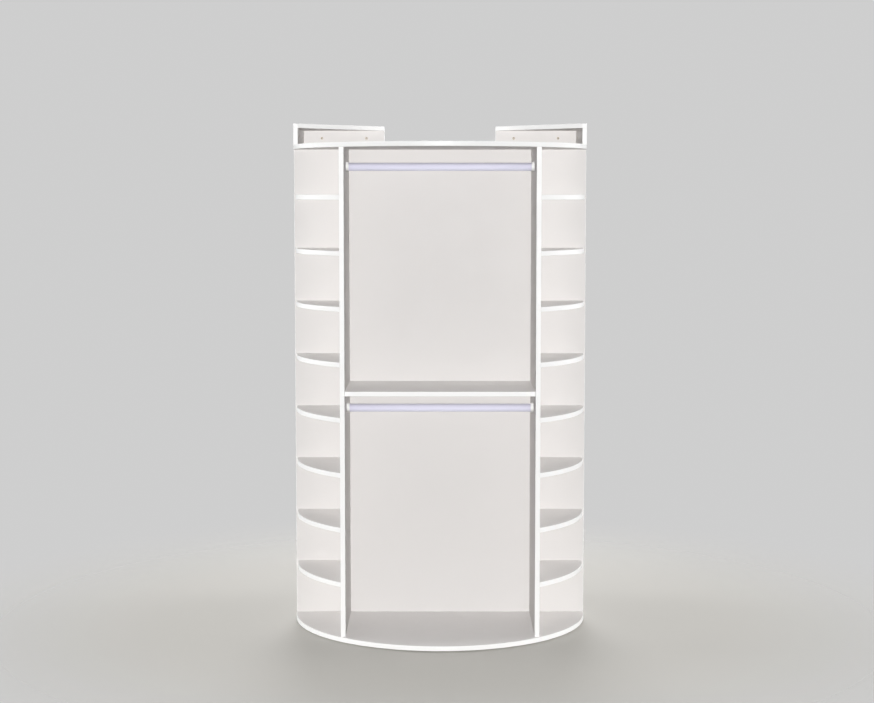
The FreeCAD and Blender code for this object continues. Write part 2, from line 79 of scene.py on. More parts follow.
def feed(tree, socket, value):
    if isinstance(value, bpy.types.NodeSocket):
        tree.links.new(value, socket)
    else:
        socket.default_value = value


def work_out(tree, operation, *values, clamp=False):
    """Add a Math node over the values and return its result."""
    node = tree.nodes.new("ShaderNodeMath")
    node.operation = operation
    node.use_clamp = clamp
    for socket, value in zip(node.inputs, values):
        feed(tree, socket, value)
    return node.outputs[0]


def spread_range(tree, value, low, high, to_low, to_high):
    """Map the value from one range to another with a smooth step, held at both ends."""
    node = add_node(tree, "MapRange", {"interpolation_type": "SMOOTHSTEP"}, Value=value)
    for socket, bound in zip(list(node.inputs)[1:5], (low, high, to_low, to_high)):
        feed(tree, socket, bound)
    return node.outputs[0]


world = bpy.data.worlds.new("studio")
world.use_nodes = True
world.node_tree.nodes.clear()
bpy.context.scene.world = world
ray = add_node(world.node_tree, "LightPath").outputs
seen = work_out(world.node_tree, "ADD", ray["Is Camera Ray"], ray["Is Glossy Ray"])
seen = work_out(world.node_tree, "ADD", seen, ray["Is Transmission Ray"], clamp=True)
level = spread_range(world.node_tree, seen, 0.0, 1.0, AMBIENT, BACKGROUND)
surround = add_node(world.node_tree, "Background", Color=(1.0, 1.0, 1.0, 1.0), Strength=level)
add_node(world.node_tree, "OutputWorld", Surface=surround.outputs[0])


def hang_panel(name, power, place, width, height, shadow=True, sheen=False):
    """A lamp panel facing the cabinet: it lights the surfaces, or only shines in glossy ones."""
    lamp = bpy.data.lights.new(name, "AREA")
    lamp.shape = "RECTANGLE"
    lamp.energy = power
    lamp.size = width
    lamp.size_y = height
    lamp.use_shadow = shadow
    holder = bpy.data.objects.new(name, lamp)
    holder.location = place
    holder.rotation_euler = (AIM - holder.location).to_track_quat("-Z", "Y").to_euler()
    holder.visible_camera = False
    holder.visible_diffuse = not sheen
    holder.visible_glossy = sheen
    bpy.context.scene.collection.objects.link(holder)


hang_panel("front_panel", 4080.0, (0.0, -20.0, 9.3), width=7.0, height=7.0, shadow=False)
hang_panel("back_panel", 310.0, (0.0, 7.0, 2.4), width=4.0, height=4.0)
hang_panel("top_panel", 220.0, (0.0, 0.3, 9.0), width=5.0, height=5.0)
hang_panel("front_sheen", 1450.0, (0.0, -14.0, 1.6), width=5.0, height=0.8, sheen=True)
hang_panel("back_sheen", 1450.0, (0.0, 14.0, 1.6), width=5.0, height=0.8, sheen=True)
for hand, side in (("left", -7.0), ("right", 7.0)):
    hang_panel(hand + "_panel", 285.0, (side, 1.3, 1.3), width=3.0, height=2.4)
    hang_panel(hand + "_sheen", 155.0, (side, 3.6, 1.3), width=6.0, height=2.4, sheen=True)

FLOOR_REACH = 2.5
FLOOR_FADE = 1.0
FLOOR_DROP = 0.0002
floor_material = bpy.data.materials.new("studio_floor")
floor_material.use_nodes = True
tree = floor_material.node_tree
tree.nodes.clear()
where = add_node(tree, "TexCoord").outputs["Object"]
away = add_node(tree, "VectorMath", {"operation": "LENGTH"}, Vector=where).outputs["Value"]
fade = spread_range(tree, away, FLOOR_FADE, FLOOR_REACH, 0.0, 1.0)
grit = add_node(tree, "TexNoise", Vector=where, Scale=260.0, Detail=3.0).outputs["Fac"]
relief = add_node(tree, "Bump", Strength=0.08, Distance=0.001, Height=grit)
paint = add_node(
    tree, "BsdfPrincipled", Base_Color=(0.53, 0.518, 0.488, 1.0), Roughness=0.8,
    Specular_IOR_Level=0.1, Normal=relief.outputs["Normal"])
clear = add_node(tree, "BsdfTransparent")
blend = tree.nodes.new("ShaderNodeMixShader")
feed(tree, blend.inputs[0], fade)
feed(tree, blend.inputs[1], paint.outputs[0])
feed(tree, blend.inputs[2], clear.outputs[0])
add_node(tree, "OutputMaterial", Surface=blend.outputs[0])
sheet = bmesh.new()
bmesh.ops.create_circle(sheet, cap_ends=True, radius=FLOOR_REACH, segments=96)
bmesh.ops.translate(sheet, vec=(0.0, 0.0, -FLOOR_DROP), verts=sheet.verts)
floor_mesh = bpy.data.meshes.new("studio_floor")
sheet.to_mesh(floor_mesh)
sheet.free()
floor_mesh.materials.append(floor_material)
studio_floor = bpy.data.objects.new("studio_floor", floor_mesh)
bpy.context.scene.collection.objects.link(studio_floor)


# ---------------------------------------------------------------- round boards
# Two discs of 19 mm chipboard with melamine faces, sawn round, and rims closed with white edge
# banding whose arrises are rounded. Panel screws go through both into the standing boards; the
# lower disc also has a routed channel for the ball ring and a hole that reaches the floor screws.
FACE = 0
BAND = 1
CORE = 2
BAND_ROUNDING = 0.0011
BAND_CORNER = math.radians(30.0)
CRISP_CORNER = math.radians(35.0)
RIM_STEPS = 256
OVERSHOOT = 0.002
NEAR = 0.001
WELD = 1e-6
SCREW_FIT = 0.00005
HEAD = 0.005
SHANK = 0.0035


def start_effect(name, inputs, outputs):
    """Begin a node group; returns its tree, what it is given and what it gives out."""
    tree = bpy.data.node_groups.new(name, "ShaderNodeTree")
    for label, kind, value in inputs:
        socket = tree.interface.new_socket(label, in_out="INPUT", socket_type="NodeSocket" + kind)
        socket.default_value = value
    for label, kind in outputs:
        tree.interface.new_socket(label, in_out="OUTPUT", socket_type="NodeSocket" + kind)
    given = tree.nodes.new("NodeGroupInput").outputs
    gives = tree.nodes.new("NodeGroupOutput").inputs
    return tree, given, gives


def use_effect(tree, effect, **inputs):
    node = tree.nodes.new("ShaderNodeGroup")
    node.node_tree = effect
    for name, value in inputs.items():
        feed(tree, node.inputs[name.replace("_", " ")], value)
    return node.outputs


def start_material(name, **shader_inputs):
    """Begin a material with one shader; returns the material, its tree and the shader."""
    material = bpy.data.materials.new(name)
    material.use_nodes = True
    tree = material.node_tree
    tree.nodes.clear()
    shader = add_node(tree, "BsdfPrincipled", **shader_inputs)
    add_node(tree, "OutputMaterial", Surface=shader.outputs[0])
    return material, tree, shader


def about_one(tree, noise, spread):
    """Turn a noise that lies about a half into a factor that lies about one."""
    return work_out(
        tree, "MULTIPLY_ADD", work_out(tree, "SUBTRACT", noise, 0.5), spread, 1.0)


def tint(tree, colour, factor):
    return add_node(
        tree, "VectorMath", {"operation": "SCALE"}, Vector=colour, Scale=factor).outputs["Vector"]


# Uneven tone: broad soft clouds and fine specks in the colour, as coated paper and plastic have,
# and the faint smears that wiping leaves in the gloss.
uneven_tone, given, gives = start_effect(
    "uneven_tone",
    [("Colour", "Color", (0.8, 0.8, 0.8, 1.0)), ("Clouds", "Float", 0.02),
     ("Specks", "Float", 0.02), ("Specks Per Metre", "Float", 700.0),
     ("Roughness", "Float", 0.5), ("Smears", "Float", 0.3)],
    [("Colour", "Color"), ("Roughness", "Float")])
where = add_node(uneven_tone, "TexCoord").outputs["Object"]
clouds = add_node(uneven_tone, "TexNoise", Vector=where, Scale=2.6, Detail=2.0)
specks = add_node(
    uneven_tone, "TexNoise", Vector=where, Scale=given["Specks Per Metre"], Detail=2.0)
smears = add_node(uneven_tone, "TexNoise", Vector=where, Scale=9.0, Detail=4.0, Distortion=1.5)
clouded = tint(
    uneven_tone, given["Colour"], about_one(uneven_tone, clouds.outputs["Fac"], given["Clouds"]))
speckled = tint(
    uneven_tone, clouded, about_one(uneven_tone, specks.outputs["Fac"], given["Specks"]))
smeared = about_one(uneven_tone, smears.outputs["Fac"], given["Smears"])
feed(uneven_tone, gives["Colour"], speckled)
feed(uneven_tone, gives["Roughness"], work_out(
    uneven_tone, "MULTIPLY", given["Roughness"], smeared))

# Pearl relief: the shallow pressed dimples of a melamine face or a moulded surface.
pearl_relief, given, gives = start_effect(
    "pearl_relief", [("Dimples Per Metre", "Float", 900.0), ("Waves", "Float", 0.2)],
    [("Height", "Float")])
where = add_node(pearl_relief, "TexCoord").outputs["Object"]
dimples = add_node(
    pearl_relief, "TexNoise", Vector=where, Scale=given["Dimples Per Metre"], Detail=1.0)
waves = add_node(pearl_relief, "TexNoise", Vector=where, Scale=45.0, Detail=1.0)
raised = work_out(pearl_relief, "MULTIPLY", waves.outputs["Fac"], given["Waves"])
feed(pearl_relief, gives["Height"], work_out(
    pearl_relief, "ADD", dimples.outputs["Fac"], raised))


def press_relief(tree, shader, height, strength, distance):
    bump = add_node(tree, "Bump", Strength=strength, Distance=distance, Height=height)
    feed(tree, shader.inputs["Normal"], bump.outputs["Normal"])


def take_tone(tree, shader, tone):
    feed(tree, shader.inputs["Base Color"], tone["Colour"])
    feed(tree, shader.inputs["Roughness"], tone["Roughness"])


def make_sheet(name, colour, clouds, specks, roughness, relief):
    """A coated sheet material: melamine faces and edge banding differ in their values only."""
    material, tree, shader = start_material(name, Specular_IOR_Level=0.2)
    tone = use_effect(
        tree, uneven_tone, Colour=colour, Clouds=clouds, Specks=specks, Roughness=roughness,
        Smears=0.5)
    take_tone(tree, shader, tone)
    pearl = use_effect(tree, pearl_relief, Dimples_Per_Metre=900.0, Waves=0.15)
    press_relief(tree, shader, pearl["Height"], strength=relief, distance=0.0001)
    return material


melamine = make_sheet(
    "melamine", (0.697, 0.678, 0.666, 1.0), clouds=0.035, specks=0.05, roughness=0.5, relief=0.5)
edge_band = make_sheet(
    "edge_band", (0.94, 0.94, 0.935, 1.0), clouds=0.01, specks=0.015, roughness=0.38, relief=0.12)

# Raw chipboard shows only where the board is drilled, routed or left without banding.
chipboard, tree, shader = start_material("chipboard", Roughness=0.9, Specular_IOR_Level=0.1)
where = add_node(tree, "TexCoord").outputs["Object"]
chips = add_node(tree, "TexVoronoi", Vector=where, Scale=420.0)
tone = add_node(tree, "ValToRGB", Fac=chips.outputs["Color"])
tone.color_ramp.elements[0].color = (0.40, 0.31, 0.22, 1.0)
tone.color_ramp.elements[1].color = (0.70, 0.59, 0.45, 1.0)
feed(tree, shader.inputs["Base Color"], tone.outputs["Color"])
press_relief(tree, shader, chips.outputs["Distance"], strength=0.5, distance=0.0004)
BOARD_FINISH = (melamine, edge_band, chipboard)


def finish_piece(mesh, name, finish, body, slot, *replaced):
    """Turn a worked mesh into a piece of the cabinet with crisp corners and its own finish."""
    bmesh.ops.recalc_face_normals(mesh, faces=mesh.faces)
    for face in mesh.faces:
        face.smooth = True
    for edge in mesh.edges:
        edge.smooth = edge.calc_face_angle(0.0) < CRISP_CORNER
    data = bpy.data.meshes.new(name)
    mesh.to_mesh(data)
    mesh.free()
    for material in finish:
        data.materials.append(material)
    piece = bpy.data.objects.new(name, data)
    bpy.context.scene.collection.objects.link(piece)
    shading = piece.modifiers.new("even_shading", "WEIGHTED_NORMAL")
    shading.keep_sharp = True
    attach(piece, body)
    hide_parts(*replaced)
    return piece


def saw_board(corners, bands, low, high, across):
    """Saw a board to its corners and band its narrow sides where bands is true.

    The corners lie in the plane of the board, and low and high are its two faces along the axis
    across: 0 for a board that faces the sides, 1 for one that faces the front, 2 for a flat one.
    """
    mesh = bmesh.new()
    rings = []
    for level in (low, high):
        points = [[a, b] for a, b in corners]
        for point in points:
            point.insert(across, level)
        rings.append([mesh.verts.new(point) for point in points])
    under, over = rings
    mesh.faces.new(under)
    mesh.faces.new(over)
    for first, banded in enumerate(bands):
        second = (first + 1) % len(bands)
        side = mesh.faces.new((under[first], under[second], over[second], over[first]))
        side.material_index = BAND if banded else CORE
    bmesh.ops.recalc_face_normals(mesh, faces=mesh.faces)
    arrises = []
    for edge in mesh.edges:
        kinds = {face.material_index for face in edge.link_faces}
        corner = kinds == {BAND} and edge.calc_face_angle() > BAND_CORNER
        if corner or kinds == {FACE, BAND}:
            arrises.append(edge)
    bmesh.ops.bevel(
        mesh, geom=arrises, offset=BAND_ROUNDING, segments=3, profile=0.5, affect="EDGES",
        material=BAND, clamp_overlap=True)
    return mesh


def turn(mesh, profile, stand, steps=32, closed=False, kind=FACE):
    """Add a turned solid; a profile is radius and height, and a radius may follow the angle."""
    rings = []
    for radius, height in profile:
        if radius == 0:
            rings.append([mesh.verts.new(stand @ Vector((0.0, 0.0, height)))])
            continue
        ring = []
        for step in range(steps):
            angle = math.tau * step / steps
            reach = radius(angle) if callable(radius) else radius
            spot = Vector((reach * math.cos(angle), reach * math.sin(angle), height))
            ring.append(mesh.verts.new(stand @ spot))
        rings.append(ring)
    following = rings[1:] + rings[:1] if closed else rings[1:]
    for ring, following_ring in zip(rings, following):
        for step in range(steps):
            turned = [ring[step % len(ring)], ring[(step + 1) % steps % len(ring)],
                      following_ring[(step + 1) % steps % len(following_ring)],
                      following_ring[step % len(following_ring)]]
            face = mesh.faces.new(list(dict.fromkeys(turned)))
            face.material_index = kind


def cut_away(mesh, tool):
    """Take the tool's solids out of a worked mesh and return the mesh."""
    bmesh.ops.recalc_face_normals(tool, faces=tool.faces)
    holders = []
    for worked in (mesh, tool):
        data = bpy.data.meshes.new("worked")
        worked.to_mesh(data)
        worked.free()
        for material in BOARD_FINISH:
            data.materials.append(material)
        holders.append(bpy.data.objects.new("worked", data))
        bpy.context.scene.collection.objects.link(holders[-1])
    board, drill = holders
    cut = board.modifiers.new("cut", "BOOLEAN")
    cut.operation = "DIFFERENCE"
    cut.solver = "EXACT"
    cut.object = drill
    shaped = board.evaluated_get(bpy.context.evaluated_depsgraph_get()).to_mesh()
    result = bmesh.new()
    result.from_mesh(shaped)
    for holder in holders:
        bpy.data.objects.remove(holder)
    return result


def solids_in(node):
    """Points of each separate solid in a CAD node."""
    mesh = bmesh.new()
    mesh.from_mesh(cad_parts[node].data)
    bmesh.ops.remove_doubles(mesh, verts=mesh.verts, dist=WELD)
    solids = []
    met = set()
    for start in mesh.verts:
        if start in met:
            continue
        met.add(start)
        solid = [start]
        for vert in solid:
            others = [edge.other_vert(vert) for edge in vert.link_edges]
            fresh = [other for other in others if other not in met]
            met.update(fresh)
            solid.extend(fresh)
        solids.append([vert.co.copy() for vert in solid])
    mesh.free()
    return solids


def screw_stands(node):
    """Where each screw of a CAD node stands: its head in the plane z = 0 and its tip below."""
    stands = []
    for solid in solids_in(node):
        low = Vector([min(point[axis] for point in solid) for axis in range(3)])
        high = Vector([max(point[axis] for point in solid) for axis in range(3)])
        size = high - low
        along = max(range(3), key=lambda axis: size[axis])
        middle = (low + high) / 2
        across = [axis for axis in range(3) if axis != along]
        widest = max(solid, key=lambda point: math.dist(
            [point[axis] for axis in across], [middle[axis] for axis in across]))
        head = middle.copy()
        head[along] = low[along] if widest[along] < middle[along] else high[along]
        turned = Vector((0.0, 0.0, -1.0)).rotation_difference(middle - head)
        stands.append(Matrix.Translation(head) @ turned.to_matrix().to_4x4())
    return stands


def countersunk_hole(head, shank, depth):
    """Profile of a countersunk hole, with some overshoot above the face that it starts from."""
    return [(0, OVERSHOOT), (head, OVERSHOOT), (head, 0.0), (shank, shank - head),
            (shank, -depth), (0, -depth)]


def round_corners(radius):
    """Corners of a disc, set so that no corner points straight along an axis."""
    angles = [math.tau * (step + 0.5) / RIM_STEPS for step in range(RIM_STEPS)]
    return [(radius * math.cos(angle), radius * math.sin(angle)) for angle in angles]


def drill_for_screws(drill, node, face, thickness, side=0):
    """Holes for the screws of a CAD node whose heads lie in a face, all or on one side only."""
    hole = countersunk_hole(HEAD + SCREW_FIT, SHANK + SCREW_FIT, thickness + OVERSHOOT)
    for stand in screw_stands(node):
        spot = stand.translation
        if abs(spot.z - face) < NEAR and spot.x * side >= 0:
            turn(drill, hole, stand, steps=24, kind=CORE)


def finish_board(mesh, name, body, *replaced):
    finish_piece(mesh, name + "_finished", BOARD_FINISH, body, "melamine_board", *replaced)


def add_round_board(node, screwed_face, drill):
    """One of the two discs, with holes for the screws in one face and what else is drilled."""
    low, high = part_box(node)
    corners = round_corners(high.x)
    mesh = saw_board(corners, [True] * len(corners), low.z, high.z, 2)
    drill_for_screws(drill, "panel_screws", screwed_face, high.z - low.z)
    finish_board(cut_away(mesh, drill), node, "carousel", node)


race_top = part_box("upper_race")[1].z
base_low, base_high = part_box("base_board")
plug_low, plug_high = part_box("access_plug")
CHANNEL_IN = 0.308
CHANNEL_OUT = 0.356
ACCESS = 0.008
under = base_low.z - OVERSHOOT
over = base_high.z + OVERSHOOT
access_place = (plug_low + plug_high) / 2
access_stand = Matrix.Translation((access_place.x, access_place.y, 0.0))
base_drill = bmesh.new()
turn(base_drill, [
    (CHANNEL_IN, under), (CHANNEL_OUT, under), (CHANNEL_OUT, race_top),
    (CHANNEL_IN, race_top)], Matrix.Identity(4), steps=RIM_STEPS, closed=True, kind=CORE)
turn(base_drill, [(0, under), (ACCESS, under), (ACCESS, over), (0, over)],
     access_stand, steps=40, kind=CORE)
add_round_board("base_board", base_low.z, base_drill)
add_round_board("top_board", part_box("top_board")[1].z, bmesh.new())


# ---------------------------------------------------------------- divider
# One full-width melamine board on the middle line, from disc to disc, with both faces seen. It
# closes the back of both halves, and its two standing ends are banded.
low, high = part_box("divider_panel")
corners = [(low.x, low.z), (high.x, low.z), (high.x, high.z), (low.x, high.z)]
board = saw_board(corners, (False, True, False, True), low.y, high.y, 1)
finish_board(board, "divider_panel", "carousel", "divider_panel")

# ---------------------------------------------------------------- uprights
# Four standing boards, two on each side of the divider, dowelled to it. Only the edge towards the
# open side is banded; it carries the white line that frames the hanging bay.
for place in ("front_left", "front_right", "rear_left", "rear_right"):
    low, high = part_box("upright_" + place)
    corners = [(low.y, low.z), (high.y, low.z), (high.y, high.z), (low.y, high.z)]
    in_front = place.startswith("front")
    bands = (False, not in_front, False, in_front)
    board = saw_board(corners, bands, low.x, high.x, 0)
    finish_board(board, "upright_" + place, "carousel", "upright_" + place)

# ---------------------------------------------------------------- curved side shelves
# Thirty-two small shelves, eight in each column: straight where they meet the divider and the
# upright, and sawn to the round on the outside, where the white banding follows the curve.
SHELVES = 8
ARC_STEPS = 40


def curved_shelf(inner_x, tip_x, front_y, divider_y, low_z, high_z):
    """Shelf between an upright's face and the divider, round from the upright to the tip."""
    radius = math.hypot(tip_x, divider_y)
    start = math.atan2(front_y, inner_x)
    end = math.atan2(divider_y, tip_x)
    if abs(end - start) > math.pi:
        end += math.copysign(math.tau, start - end)
    corners = []
    for step in range(ARC_STEPS + 1):
        angle = start + (end - start) * step / ARC_STEPS
        corners.append((radius * math.cos(angle), radius * math.sin(angle)))
    corners.append((inner_x, divider_y))
    bands = [True] * ARC_STEPS + [False, False]
    return saw_board(corners, bands, low_z, high_z, 2)


for hand, side in (("left", -1), ("right", 1)):
    rear_low, rear_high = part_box("rear_shelves_" + hand)
    for number in range(1, SHELVES + 1):
        node = f"side_shelf_{hand}_{number}"
        low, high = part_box(node)
        inner_x = low.x if side > 0 else high.x
        tip_x = high.x if side > 0 else low.x
        front = curved_shelf(inner_x, tip_x, low.y, high.y, low.z, high.z)
        finish_board(front, node, "carousel", node)
        rear = curved_shelf(inner_x, tip_x, rear_high.y, rear_low.y, low.z, high.z)
        finish_board(
            rear, f"rear_shelf_{hand}_{number}", "carousel", "rear_shelves_" + hand)

# ---------------------------------------------------------------- mid shelves
# One straight shelf halfway up each half, dowelled between the uprights and to the divider. Its
# front edge is banded and stands a little behind the edges of the uprights.
for place in ("front", "rear"):
    low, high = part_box("mid_shelf_" + place)
    corners = [(low.x, low.y), (high.x, low.y), (high.x, high.y), (low.x, high.y)]
    board = saw_board(
        corners, (place == "front", False, place == "rear", False), low.z, high.z, 2)
    finish_board(board, "mid_shelf_" + place, "carousel", "mid_shelf_" + place)

# ---------------------------------------------------------------- hanging rods
# Four drawn aluminium tubes, anodised to a pale, matt violet grey. Each end sits in a moulded
# white socket, a shallow cup with a rounded lip that one screw holds to the upright's face.
SOCKET_OUT = 0.0193
SOCKET_BORE = 0.0167
SOCKET_LENGTH = 0.011
SOCKET_FLOOR = 0.003
SOCKET_ROUNDING = 0.0006
SOCKET_CHAMFER = 0.3 * SOCKET_ROUNDING
SMALL_HEAD = 0.004
SMALL_CORE = 0.002

# Drawing lines: fine streaks along a tube or across rolled steel, in colour and in height.
drawn_lines, given, gives = start_effect(
    "drawn_lines",
    [("Colour", "Color", (0.7, 0.7, 0.7, 1.0)), ("Stretch", "Vector", (2.0, 900.0, 900.0)),
     ("Depth", "Float", 0.05), ("Roughness", "Float", 0.5)],
    [("Colour", "Color"), ("Roughness", "Float"), ("Height", "Float")])
where = add_node(drawn_lines, "TexCoord").outputs["Object"]
drawn = add_node(drawn_lines, "Mapping", Vector=where, Scale=given["Stretch"])
lines = add_node(
    drawn_lines, "TexNoise", Vector=drawn.outputs["Vector"], Scale=1.0, Detail=3.0).outputs["Fac"]
shade = about_one(drawn_lines, lines, given["Depth"])
rougher = about_one(drawn_lines, lines, work_out(drawn_lines, "MULTIPLY", given["Depth"], -2.0))
feed(drawn_lines, gives["Colour"], tint(drawn_lines, given["Colour"], shade))
feed(drawn_lines, gives["Roughness"], work_out(
    drawn_lines, "MULTIPLY", given["Roughness"], rougher))
feed(drawn_lines, gives["Height"], lines)


def make_metal(name, colour, roughness, stretch, depth):
    material, tree, shader = start_material(name, Metallic=1.0)
    streaks = use_effect(
        tree, drawn_lines, Colour=colour, Stretch=stretch, Depth=depth, Roughness=roughness)
    take_tone(tree, shader, streaks)
    press_relief(tree, shader, streaks["Height"], strength=0.15, distance=0.0001)
    return material


def make_plastic(name, colour, roughness):
    material, tree, shader = start_material(name, Specular_IOR_Level=0.5)
    tone = use_effect(
        tree, uneven_tone, Colour=colour, Clouds=0.01, Specks=0.02, Roughness=roughness,
        Smears=0.2)
    take_tone(tree, shader, tone)
    pearl = use_effect(tree, pearl_relief, Dimples_Per_Metre=2200.0, Waves=0.3)
    press_relief(tree, shader, pearl["Height"], strength=0.15, distance=0.00005)
    return material


def dress(node, material):
    """Give a CAD node that keeps its own shape its real finish."""
    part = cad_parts[node]
    for holder in part.material_slots:
        holder.material = material


anodised_tube = make_metal(
    "anodised_tube", (0.83, 0.825, 0.905, 1.0), roughness=0.9, stretch=(3.0, 900.0, 900.0),
    depth=0.05)
white_plastic = make_plastic("white_plastic", (0.84, 0.84, 0.83, 1.0), roughness=0.5)
screw_steel = make_metal(
    "screw_steel", (0.66, 0.66, 0.64, 1.0), roughness=0.35, stretch=(700.0, 700.0, 60.0),
    depth=0.12)

for node in ("upper_rod_front", "upper_rod_rear", "lower_rod_front", "lower_rod_rear"):
    dress(node, anodised_tube)

sockets = bmesh.new()
for solid in solids_in("rod_sockets"):
    side = math.copysign(1.0, solid[0].x)
    face_x = max(abs(point.x) for point in solid) * side
    middle_y = (min(point.y for point in solid) + max(point.y for point in solid)) / 2
    middle_z = (min(point.z for point in solid) + max(point.z for point in solid)) / 2
    stand = Matrix.Translation((face_x, middle_y, middle_z))
    stand = stand @ Matrix.Rotation(-side * math.pi / 2, 4, "Y")
    turn(sockets, [
        (SMALL_CORE + SCREW_FIT, 0.0), (SOCKET_OUT, 0.0),
        (SOCKET_OUT, SOCKET_LENGTH - SOCKET_ROUNDING),
        (SOCKET_OUT - SOCKET_CHAMFER, SOCKET_LENGTH - SOCKET_CHAMFER),
        (SOCKET_OUT - SOCKET_ROUNDING, SOCKET_LENGTH),
        (SOCKET_BORE + SOCKET_ROUNDING, SOCKET_LENGTH),
        (SOCKET_BORE, SOCKET_LENGTH - SOCKET_ROUNDING), (SOCKET_BORE, SOCKET_FLOOR),
        (SMALL_HEAD + SCREW_FIT, SOCKET_FLOOR),
        (SMALL_CORE + SCREW_FIT, SOCKET_FLOOR + SMALL_CORE - SMALL_HEAD)],
        stand, steps=64, closed=True)
finish_piece(
    sockets, "rod_sockets_finished", (white_plastic,), "carousel", "white_plastic", "rod_sockets")


# The cross recess of a small screw, in shares of its head's radius.
RECESS_ARM = 0.58
RECESS_HALF_WIDTH = 0.13
RECESS_FLOOR_ARM = 0.30
RECESS_FLOOR_HALF_WIDTH = 0.10
RECESS_FLOOR = 0.5
RECESS_POINT = 0.55
TINY = 1e-6


def cross(angle, arm, half_width):
    """Outline of a cross recess as seen from its middle."""
    across = max(abs(math.cos(angle)), TINY)
    upward = max(abs(math.sin(angle)), TINY)
    return max(min(arm / across, half_width / upward), min(arm / upward, half_width / across))


def add_small_screws(node, body, head=SMALL_HEAD, core=SMALL_CORE):
    """Countersunk screws with a cross recess, as long as the CAD node's own."""
    screws = bmesh.new()
    lengths = []
    for solid in solids_in(node):
        lengths.append(max(
            max(point[axis] for point in solid) - min(point[axis] for point in solid)
            for axis in range(3)))
    for stand, length in zip(screw_stands(node), lengths):
        turn(screws, [
            (0, -RECESS_POINT * head),
            (lambda angle: head * cross(angle, RECESS_FLOOR_ARM, RECESS_FLOOR_HALF_WIDTH),
             -RECESS_FLOOR * head),
            (lambda angle: head * cross(angle, RECESS_ARM, RECESS_HALF_WIDTH), 0.0),
            (head, 0.0), (core, core - head), (core, core - length), (0, -length)],
            stand, steps=48)
    finish_piece(screws, node + "_finished", (screw_steel,), body, "screw_steel", node)


add_small_screws("socket_screws", "carousel")

# ---------------------------------------------------------------- panel screws and dowels
# Zinc-plated panel screws with a hexagon recess pull the discs onto the ends of the uprights and
# of the divider, their flat heads flush with the face. Beech dowels hold the uprights and the
# shelves in place.
SCREW_CORE = 0.0025
SCREW_LENGTH = 0.05
SCREW_POINT = 0.0022
HEAD_ROUNDING = 0.0001
HEXAGON = 0.002
HEXAGON_CHAMFER = 0.0002
HEXAGON_DEPTH = 0.0026
HEXAGON_POINT = 0.0032
BOARD = base_high.z - base_low.z


def hexagon(angle):
    """Outline of a hexagon recess as seen from its middle."""
    return HEXAGON / math.cos(angle % (math.pi / 3) - math.pi / 6)


def add_panel_screws(node, body):
    screws = bmesh.new()
    for stand in screw_stands(node):
        turn(screws, [
            (0, -HEXAGON_POINT), (hexagon, -HEXAGON_DEPTH), (hexagon, -HEXAGON_CHAMFER),
            (lambda angle: hexagon(angle) + HEXAGON_CHAMFER, 0.0), (HEAD - HEAD_ROUNDING, 0.0),
            (HEAD, -HEAD_ROUNDING), (SHANK, SHANK - HEAD), (SHANK, -BOARD),
            (SCREW_CORE, -BOARD), (SCREW_CORE, SCREW_POINT - SCREW_LENGTH),
            (0, -SCREW_LENGTH)], stand, steps=36)
    finish_piece(screws, node + "_finished", (screw_steel,), body, "screw_steel", node)


add_panel_screws("panel_screws", "carousel")


def make_beech(name, stretch):
    material, tree, shader = start_material(name, Specular_IOR_Level=0.25)
    fibres = use_effect(
        tree, drawn_lines, Colour=(0.62, 0.42, 0.25, 1.0), Stretch=stretch, Depth=0.6,
        Roughness=0.65)
    take_tone(tree, shader, fibres)
    press_relief(tree, shader, fibres["Height"], strength=0.3, distance=0.0002)
    return material


dress("divider_dowels", make_beech("beech_front_to_rear", (1200.0, 40.0, 1200.0)))
dress("upright_dowels", make_beech("beech_side_to_side", (40.0, 1200.0, 1200.0)))

# ---------------------------------------------------------------- ball bearing
# A thin ring of balls between two pressed and zinc-plated steel races, the lower one screwed to
# the floor and the upper one let into the lower disc. A moulded cage keeps the balls apart, and
# a white cap closes the hole in the disc through which the floor screws are driven.
PLUG_STEM = 0.0078
PLUG_TAPER = 0.0002
PLUG_LEAD = 0.0008
PLUG_LEAD_HEIGHT = 0.001
CAP_UNDERCUT = 0.0002
CAP_RIM = 0.0003
CAP_ROUNDING = (0.0006, 0.0004)
CAP_CROWN = (0.0022, 0.0001)

zinc_plate = make_metal(
    "zinc_plate", (0.63, 0.64, 0.66, 1.0), roughness=0.38, stretch=(90.0, 90.0, 90.0), depth=0.16)
bearing_chrome = make_metal(
    "bearing_chrome", (0.75, 0.75, 0.76, 1.0), roughness=0.12, stretch=(200.0, 200.0, 200.0),
    depth=0.02)
for node in ("floor_race", "upper_race"):
    dress(node, zinc_plate)
dress("bearing_balls", bearing_chrome)
dress("ball_cage", white_plastic)
add_small_screws("race_screws", "carousel")

plug = bmesh.new()
cap = (plug_high.x - plug_low.x) / 2
turn(plug, [
    (0, plug_low.z), (PLUG_STEM - PLUG_TAPER - PLUG_LEAD, plug_low.z),
    (PLUG_STEM - PLUG_TAPER, plug_low.z + PLUG_LEAD_HEIGHT), (PLUG_STEM, base_high.z),
    (cap - CAP_UNDERCUT, base_high.z), (cap, base_high.z + CAP_RIM),
    (cap - CAP_ROUNDING[0], plug_high.z - CAP_ROUNDING[1]),
    (cap - CAP_CROWN[0], plug_high.z - CAP_CROWN[1]), (0, plug_high.z)],
    access_stand, steps=48)
finish_piece(
    plug, "access_plug_finished", (white_plastic,), "carousel", "white_plastic", "access_plug")

